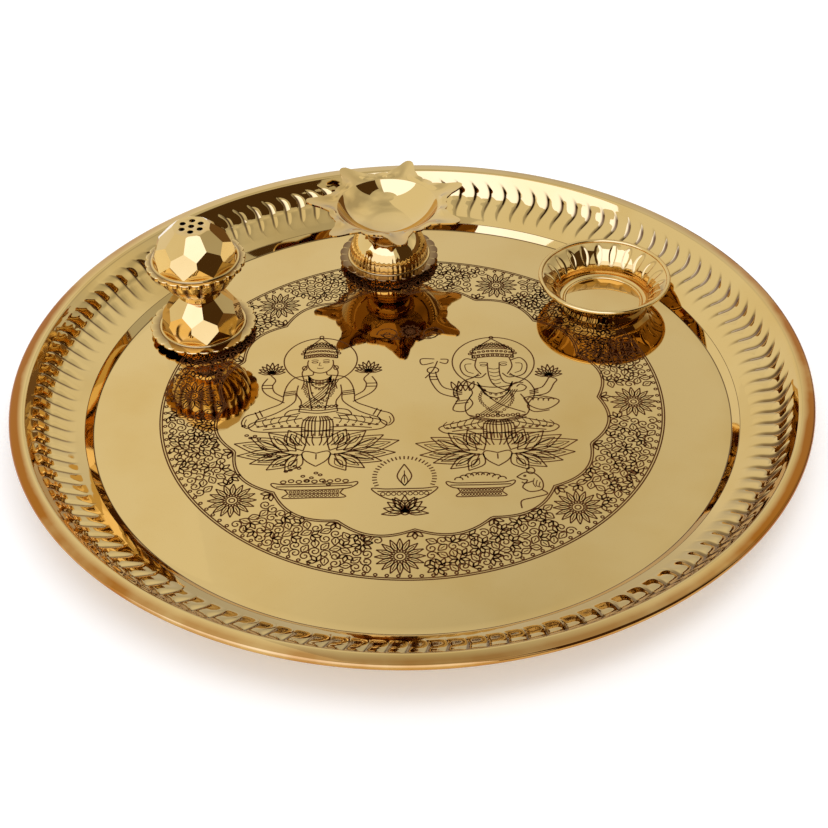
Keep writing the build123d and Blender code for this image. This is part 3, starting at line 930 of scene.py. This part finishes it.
def flange(radius, low):
    """A scalloped flange with a raised bead, its underside at height low, on a foot ring if that isn't 0."""
    turn = angles(SCALLOP_COUNT * SCALLOP_POINTS)
    edge = scalloped_edge(turn, radius, SCALLOP_COUNT, SCALLOP_DEPTH)
    inset = edge - FLANGE_ROUNDING
    outer = DOME_RADIUS - FOOT_INSET
    inner = outer - VESSEL_SHEET
    top = low + VESSEL_SHEET
    rows = [(inner, 0.0), (outer, 0.0), (outer, low)] if low else [(inner, low)]
    rows += [(inset, low), (edge, low + FLANGE_ROUNDING), (edge, top - FLANGE_ROUNDING), (inset, top)]
    rows += oval_spots(DOME_RADIUS, top, FLANGE_BEAD_HALF_WIDTH, FLANGE_BEAD_HEIGHT, np.linspace(0, pi, 8))
    return rows_mesh(rings(rows + [(inner, top)], turn), closed=True)


def paint_shade_by_place(made, place, shade):
    """Painted shade by a function of radius, angle and height above a place."""
    spots = np.array([vertex.co for vertex in made.data.vertices]) / MM - np.array(place)
    radius = np.hypot(spots[:, 0], spots[:, 1])
    values = shade(radius, np.arctan2(spots[:, 1], spots[:, 0]), spots[:, 2])
    set_shade_paint(made, values.astype(float))


def flange_shade_paint(top, edge, edge_shade):
    """A flange's painted shade: round the dome's foot, on its underside, and along its edge as much as asked.
    """

    def shade(radius, turn, height):
        off_bead = np.abs(radius - DOME_RADIUS - FLANGE_BEAD_HALF_WIDTH)
        at_dome = DOME_FOOT_SHADE * (1 - smooth_step(0.0, 0.5, off_bead))
        below = FLANGE_UNDER_SHADE * ((height < top - 0.5) & (radius > DOME_RADIUS + 1))
        at_edge = edge_shade * smooth_step(edge - 1.6, edge - 0.4, radius)
        return np.maximum(np.maximum(at_dome, below), at_edge)

    return shade


def facet_planes(start):
    """The outward direction of each facet of a dome, in staggered rows from a start angle."""
    turn = 360 / FACETS_PER_ROW
    for row, latitude in enumerate(FACET_LATITUDES):
        for index in range(FACETS_PER_ROW):
            angle = radians(start + turn * (index + row / 2))
            level = radians(latitude)
            yield Vector((cos(level) * cos(angle), cos(level) * sin(angle), sin(level)))


def cut(shape, point, direction):
    """Cuts away what lies beyond a plane and closes the cut with one flat face."""
    everything = shape.verts[:] + shape.edges[:] + shape.faces[:]
    made = bmesh.ops.bisect_plane(
        shape, geom=everything, plane_co=point, plane_no=direction, clear_outer=True, dist=1e-5
    )
    edges = [item for item in made["geom_cut"] if isinstance(item, bmesh.types.BMEdge)]
    bmesh.ops.edgeloop_fill(shape, edges=edges)


def faceted_shell(start):
    """The outer skin of a faceted dome, open below, as vertices and faces."""
    shape = bmesh.new()
    bmesh.ops.create_uvsphere(shape, u_segments=96, v_segments=48, radius=DOME_RADIUS)
    bmesh.ops.translate(shape, verts=shape.verts, vec=(0, 0, DOME_CENTRE_HEIGHT))
    cut(shape, (0, 0, 0), (0, 0, -1))
    cut(shape, (0, 0, DOME_HEIGHT), (0, 0, 1))
    for direction in facet_planes(start):
        centre = Vector((0, 0, DOME_CENTRE_HEIGHT)) + direction * FACET_REACH
        cut(shape, centre, direction)
    under = [face for face in shape.faces if all(abs(v.co.z) < 0.01 for v in face.verts)]
    bmesh.ops.delete(shape, geom=under, context="FACES")
    bmesh.ops.dissolve_limit(shape, angle_limit=radians(0.5), verts=shape.verts, edges=shape.edges)
    vertices = np.array([v.co for v in shape.verts])
    shape.verts.index_update()
    faces = [[v.index for v in face.verts] for face in shape.faces]
    shape.free()
    return vertices, faces


def drill(target, place, spots):
    """Round holes through the top of a dome."""
    for x, y in spots:
        bpy.ops.mesh.primitive_cylinder_add(
            vertices=24,
            radius=INCENSE_HOLE_RADIUS * MM,
            depth=6 * VESSEL_SHEET * MM,
            location=((place[0] + x) * MM, (place[1] + y) * MM, (place[2] + DOME_HEIGHT) * MM),
        )
        cutter = bpy.context.object
        boolean = target.modifiers.new("hole", "BOOLEAN")
        boolean.operation = "DIFFERENCE"
        boolean.object = cutter
        apply_modifier(target, boolean)
        bpy.data.objects.remove(cutter)


def faceted_dome(name, node, flange_radius, start, lift, holes):
    x, y, z = axis_of(node)
    place = (x, y, z + lift)
    shell = vessel(name, [faceted_shell(start)], place, "incense_stand", [node], 5)
    thickness = shell.modifiers.new("sheet", "SOLIDIFY")
    thickness.thickness = VESSEL_SHEET * MM
    thickness.offset = -1
    apply_modifier(shell, thickness)
    drill(shell, place, holes)
    rounding = shell.modifiers.new("soft_edges", "BEVEL")
    rounding.width = FACET_ROUNDING * MM
    rounding.segments = 3
    rounding.limit_method = "ANGLE"
    rounding.angle_limit = radians(ROUNDED_ANGLE)
    rim = vessel(name + "_flange", [flange(flange_radius, lift)], (x, y, z), "incense_stand")
    # Painted shade round the dome's foot and under its flange
    paint_shade_by_place(rim, (x, y, z), flange_shade_paint(lift + VESSEL_SHEET, flange_radius, 0.0))


def lobes(turn, count):
    """Rounded ridges between sharp valleys: 0 in a valley, 1 on a ridge."""
    return np.abs(np.sin(turn * count / 2))


def cup_rows(shrink, turn):
    """The cup's wall above its neck, drawn in by shrink: the lower half of a ball, with lobes."""
    start = acos(CUP_FOOT_RADIUS / CUP_MOUTH_RADIUS)
    depth = CUP_HEIGHT - CUP_NECK_HEIGHT - shrink
    rows = []
    for share in np.linspace(0, 1, 14):
        swing = start * (1 - share)
        ridge = (CUP_MOUTH_RADIUS - shrink) * cos(swing)
        valley = 1 - CUP_FLUTE_DEPTH / CUP_MOUTH_RADIUS * (1 - lobes(turn, CUP_FLUTE_COUNT))
        rows.append(ring(ridge * valley, CUP_HEIGHT - depth * sin(swing) / sin(start), turn))
    return rows


def incense_cup():
    place = axis_of("incense_cup")
    turn = angles(CUP_FLUTE_COUNT * 12)
    neck = CUP_NECK_RADIUS
    inset = neck - CUP_NECK_ROUNDING
    bore = neck - VESSEL_SHEET
    foot = [(SCREW_HOLE_RADIUS, 0.0), (inset, 0.0), (neck, CUP_NECK_ROUNDING)]
    foot += [(neck, CUP_NECK_HEIGHT - CUP_NECK_ROUNDING), (inset, CUP_NECK_HEIGHT)]
    floor = [(bore, CUP_NECK_HEIGHT), (bore, VESSEL_SHEET), (SCREW_HOLE_RADIUS, VESSEL_SHEET)]
    wall = cup_rows(0, turn) + cup_rows(VESSEL_SHEET, turn)[::-1]
    edge_turn = angles(SCALLOP_COUNT * SCALLOP_POINTS)
    edge = scalloped_edge(edge_turn, CAP_FLANGE_RADIUS, SCALLOP_COUNT, SCALLOP_DEPTH)
    low = CUP_HEIGHT - VESSEL_SHEET
    inner = CUP_MOUTH_RADIUS - CUP_RIM_OVERLAP
    rim = [(inner, low), (edge, low), (edge, CUP_HEIGHT), (inner, CUP_HEIGHT)]
    rows = (rings(foot, turn) + wall + rings(floor, turn), rings(rim, edge_turn))
    parts = [rows_mesh(some, closed=True) for some in rows]
    made = vessel("cup", parts, place, "incense_stand", ["incense_cup"])

    # Painted shade in the valleys between the cup's flutes, above its neck
    def between_flutes(radius, turn, height):
        valley = 1 - smooth_step(0.3, 0.75, lobes(turn, CUP_FLUTE_COUNT))
        return valley * (height > CUP_NECK_HEIGHT + 2.5) * (radius < CUP_MOUTH_RADIUS)

    paint_shade_by_place(made, place, between_flutes)


def dome_rows(shrink, turn):
    radius = DOME_RADIUS - shrink
    low = -asin(DOME_CENTRE_HEIGHT / radius)
    high = asin((DOME_HEIGHT - shrink - DOME_CENTRE_HEIGHT) / radius)
    rows = []
    for share in np.linspace(0, 1, 20):
        latitude = low + (high - low) * share
        depth = DIYA_FLUTE_DEPTH * max(0, 1 - 2 * share)
        wide = radius * cos(latitude) - depth * (1 - lobes(turn, DIYA_FLUTE_COUNT))
        rows.append(ring(wide, FOOT_LIFT + DOME_CENTRE_HEIGHT + radius * sin(latitude), turn))
    return rows


def diya_base():
    place = axis_of("diya_base")
    turn = angles(DIYA_FLUTE_COUNT * 8)
    top = FOOT_LIFT + DOME_HEIGHT
    rows = dome_rows(0, turn) + [ring(SCREW_HOLE_RADIUS, top, turn)]
    rows += [ring(SCREW_HOLE_RADIUS, top - VESSEL_SHEET, turn)] + dome_rows(VESSEL_SHEET, turn)[::-1]
    parts = [rows_mesh(rows, closed=True), flange(DIYA_FLANGE_RADIUS, FOOT_LIFT)]
    made = vessel("lamp_foot", parts, place, "diya", ["diya_base"])
    # Painted shade round the dome's foot, under its flange and along its edge
    paint_shade_by_place(made, place, flange_shade_paint(FOOT_LIFT + VESSEL_SHEET, DIYA_FLANGE_RADIUS, DIYA_EDGE_SHADE))


def spout_edge(away):
    """The radius of a spout's outline at each angle away from its axis."""
    reach = DISH_FLANGE_WIDTH + SPOUT_REACH
    spots = [(DISH_RADIUS + share * reach, half) for share, half in SPOUT_HALF_WIDTHS]
    turns = [atan2(half, out) for out, half in spots]
    return np.interp(away, turns, [hypot(out, half) for out, half in spots])


def dish_arc(count):
    """The dish's bulged wall from its flat floor to its rim, as (radius, height) points."""
    start = np.array([DISH_FLAT_RADIUS, 0.0])
    end = np.array([DISH_RADIUS, DISH_DEPTH])
    chord = end - start
    off = np.array([chord[1], -chord[0]]) / np.linalg.norm(chord)
    shares = np.linspace(0, 1, count)
    return [start + chord * share + off * DISH_BELLY * 4 * share * (1 - share) for share in shares]


def diya_dish():
    """The lamp's bowl, whose rim spreads into seven creased spouts with small scallops between."""
    x, y, z = axis_of("diya_base")
    turn = angles(SPOUT_COUNT * 96)
    step = 2 * pi / SPOUT_COUNT
    along = (turn - radians(SPOUT_FIRST_ANGLE)) / step
    away = np.abs(along - np.round(along)) * step
    flange_radius = DISH_RADIUS + DISH_FLANGE_WIDTH
    scallops = scalloped_edge(turn, flange_radius, SPOUT_COUNT * SPOUT_SCALLOPS, DISH_SCALLOP_DEPTH)
    edge = np.maximum(spout_edge(away), scallops)
    crease = SPOUT_FOLD * smooth_step(0, step / 4, away) * (1 - smooth_step(step / 4, step / 2, away) * 0.6)
    inner = [pole(VESSEL_SHEET)]
    outer = [pole(0.0)]
    for radius, height in dish_arc(14):
        inner.append(ring(radius - VESSEL_SHEET * 0.3, height + VESSEL_SHEET, turn))
        outer.append(ring(radius + VESSEL_SHEET * 0.3, height, turn))
    for share in np.linspace(0.06, 1, 14):
        radius = DISH_RADIUS + (edge - DISH_RADIUS) * share
        tip = (radius - DISH_RADIUS) / (DISH_FLANGE_WIDTH + SPOUT_REACH)
        lift = crease * smooth_step(0, 0.5, share) * (1 - 0.9 * tip) + SPOUT_RISE * tip
        inner.append(ring(radius, DISH_DEPTH + VESSEL_SHEET + lift, turn))
        outer.append(ring(radius, DISH_DEPTH + lift, turn))
    parts = [rows_mesh(inner + outer[::-1])]
    place = (x, y, z + FOOT_LIFT + DOME_HEIGHT)
    made = vessel("lamp_dish", parts, place, "diya", ["diya_dish"], 25)
    # Painted shade on the dish's whole underside
    shades = [np.zeros(len(row)) for row in inner]
    shades += [np.full(len(row), DISH_UNDER_SHADE) for row in outer[::-1]]
    set_shade_paint(made, np.concatenate(shades))


def bowl_oval(share, turn):
    """How deep inside a pressed oval each angle lies, at a share of the bowl's wall."""
    phase = turn * BOWL_FLUTE_COUNT / (2 * pi)
    across = 2 * (phase - np.floor(phase)) - 1
    return 1 - (across / OVAL_HALF_WIDTH) ** 2 - ((share - OVAL_MIDDLE) / OVAL_HALF_HEIGHT) ** 2


def bowl_rows(shrink, turn):
    """The bowl's wall, drawn in by shrink: rows with ovals pressed outwards, and the painted shade that
    outlines them.
    """
    heel = BOWL_FOOT_RADIUS + BOWL_FOOT_RUN - shrink
    flare = radians(BOWL_FLARE_ANGLE)
    rows = [(ring(BOWL_FOOT_RADIUS - shrink, shrink, turn), np.zeros_like(turn))]
    for share in np.linspace(0, 1, 36):
        swing = flare * share
        radius = heel + BOWL_WALL_RUN * (1 - cos(swing)) / (1 - cos(flare))
        rise = (BOWL_HEIGHT - BOWL_FOOT_RISE) * sin(swing) / sin(flare)
        oval = bowl_oval(share, turn)
        swell = BOWL_FLUTE_DEPTH * smooth_step(0, 0.7, oval)
        outline = OVAL_OUTLINE_SHADE * (1 - smooth_step(0.1, 0.3, np.abs(oval - 0.1)))
        rows.append((ring(radius + swell, BOWL_FOOT_RISE + rise, turn), outline))
    return rows


def kumkum_bowl():
    place = axis_of("kumkum_bowl")
    turn = angles(BOWL_FLUTE_COUNT * 24)
    plain = np.zeros_like(turn)
    outer = [(pole(0.0), np.zeros(1)), (ring(BOWL_FLOOR_ROW, 0.0, turn), plain)]
    # Painted shade over the outside of the bowl's wall
    outer += [(row, np.maximum(shade, BOWL_OUTER_SHADE)) for row, shade in bowl_rows(0, turn)]
    inner = [(pole(BOWL_SHEET), np.zeros(1)), (ring(BOWL_FLOOR_ROW, BOWL_SHEET, turn), plain)]
    swings = np.linspace(0, pi, 7)
    ledge = oval_spots(BOWL_LEDGE_RADIUS, BOWL_SHEET, -BOWL_LEDGE_HALF_WIDTH, BOWL_LEDGE_HEIGHT, swings)
    inner += [(row, plain) for row in rings(ledge, turn)] + bowl_rows(BOWL_SHEET, turn)
    rows = outer + inner[::-1]
    rim_radius = BOWL_FOOT_RADIUS + BOWL_FOOT_RUN + BOWL_WALL_RUN - BOWL_SHEET / 2
    edge = oval_spots(rim_radius, BOWL_HEIGHT, BOWL_BEAD_RADIUS, BOWL_BEAD_RADIUS, angles(12))
    rim = [(row, plain) for row in rings(edge, turn)]
    parts = [rows_mesh([row for row, shade in rows]), rows_mesh([row for row, shade in rim], closed=True)]
    made = vessel("powder_bowl", parts, place, "kumkum_bowl", ["kumkum_bowl"])
    set_shade_paint(made, np.concatenate([shade for row, shade in rows + rim]))


hole_turns = angles(INCENSE_CIRCLE_COUNT) + radians(INCENSE_FIRST_ANGLE)
hole_ring = oval_spots(0, 0, INCENSE_CIRCLE_RADIUS, INCENSE_CIRCLE_RADIUS, hole_turns)
faceted_dome("stand_foot", "incense_base", STAND_FLANGE_RADIUS, 180 / FACETS_PER_ROW, FOOT_LIFT, [(0, 0)])
faceted_dome("stand_cap", "incense_cap", CAP_FLANGE_RADIUS, 0, 0, [(0, 0)] + hole_ring)
incense_cup()
diya_base()
diya_dish()
kumkum_bowl()
for node in ("incense_screw", "incense_washer", "incense_nut", "diya_stud", "diya_washer", "diya_nut"):
    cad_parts[node].data.materials.clear()
    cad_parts[node].data.materials.append(fastener_brass)

# Floor, light and camera


def stage_floor():
    """A pale floor that keeps its shadow and reads as white to the camera and in the brass."""
    material, tree = new_material("studio_floor")
    ray = add_node(tree, "LightPath")
    rays = {0: ray["Is Camera Ray"], 1: ray["Is Glossy Ray"]}
    seen = add_node(tree, "Math", rays, operation="MAXIMUM")["Value"]
    looks = {"Base Color": (0.92, 0.92, 0.92, 1), "Roughness": 0.9, "Emission Color": (1, 1, 1, 1)}
    looks["Emission Strength"] = map_range(tree, seen, (0, 1), (0, FLOOR_GLOW))
    fill(tree, tree.nodes["Principled BSDF"], looks)
    bpy.ops.mesh.primitive_plane_add(size=STUDIO_FLOOR_SIZE)
    floor = bpy.context.object
    floor.name = "studio_floor"
    floor.data.materials.append(material)


def tent_panel(name, distance, azimuths, elevations, colour, strength):
    """A panel of the light tent around the object, which is seen only in the brass."""
    material, tree = new_material(name)
    glow = add_node(tree, "Emission", {"Color": (*colour, 1), "Strength": strength})
    fill(tree, tree.nodes["Material Output"], {"Surface": glow["Emission"]})
    levels = np.radians(np.linspace(*elevations, PANEL_ROWS))
    turn = np.radians(np.linspace(*azimuths, PANEL_COLUMNS))
    spots, faces = rows_mesh(rings(oval_spots(0, 0, distance, distance, levels), turn))
    # A panel is open at its sides, without the faces that close its rows
    faces = [face for face in faces if face[1] > face[0]]
    mesh = bpy.data.meshes.new(name)
    mesh.from_pydata(spots.tolist(), [], faces)
    mesh.materials.append(material)
    made = add_object(name, mesh)
    made.visible_camera = False
    made.visible_shadow = False
    made.visible_diffuse = False


def overhead_light():
    """A softbox over the object, which isn't seen in the brass."""
    light = bpy.data.lights.new("overhead", "AREA")
    light.shape = "RECTANGLE"
    light.size, light.size_y = OVERHEAD_SIZE
    light.energy = OVERHEAD_POWER
    made = add_object("overhead", light)
    aim = (-Vector(OVERHEAD_PLACE)).to_track_quat("-Z", "Y").to_matrix().to_4x4()
    made.matrix_world = Matrix.Translation(OVERHEAD_PLACE) @ aim
    made.visible_camera = False
    made.visible_glossy = False


def room():
    """A pale room, softly clouded and a little cool in the brass, and white to the camera."""
    world = bpy.data.worlds.new("studio")
    world.use_nodes = True
    tree = world.node_tree
    ray = add_node(tree, "LightPath")
    cloud = noise(tree, ROOM_CLOUD_SCALE, 1.5, "Generated")
    walls = map_range(tree, cloud, (0.35, 0.65), ROOM_STRENGTH)
    strength = add_node(tree, "Mix", {"A": walls, "B": 1.0, "Factor": ray["Is Camera Ray"]})
    cool = {"A": (1, 1, 1, 1), "B": (*COOL, 1), "Factor": ray["Is Glossy Ray"]}
    colour = add_node(tree, "Mix", cool, data_type="RGBA")
    fill(tree, tree.nodes["Background"], {"Strength": strength["Result"], "Color": colour["Result"]})
    bpy.context.scene.world = world


def studio():
    stage_floor()
    room()
    overhead_light()
    for panel in LIGHT_TENT:
        tent_panel(*panel)


def camera():
    """The photograph's view, from the pixel where the plate's centre lies and its distance."""
    elevation = radians(CAMERA_ELEVATION)
    place = Vector((0, -CAMERA_DISTANCE * cos(elevation), CAMERA_DISTANCE * sin(elevation)))
    forward = -place.normalized()
    right = Vector((1, 0, 0))
    up = right.cross(forward)
    across = (PLATE_CENTRE_PIXEL[0] - PICTURE_SIZE / 2) / CAMERA_FOCAL_PIXELS
    down = (PLATE_CENTRE_PIXEL[1] - PICTURE_SIZE / 2) / CAMERA_FOCAL_PIXELS
    aim = (forward - across * right + down * up).to_track_quat("-Z", "Y").to_matrix().to_4x4()
    lens = bpy.data.cameras.new("camera")
    lens.sensor_width = 36
    lens.lens = CAMERA_FOCAL_PIXELS / PICTURE_SIZE * lens.sensor_width
    lens.clip_start = 0.01
    made = add_object("camera", lens)
    place = (place + Vector((0, 0, PLATE_SHEET))) * MM
    made.matrix_world = Matrix.Translation(place) @ aim @ Matrix.Rotation(CAMERA_ROLL, 4, "Z")
    bpy.context.scene.camera = made


studio()
camera()
bpy.context.scene.view_settings.view_transform = "Standard"
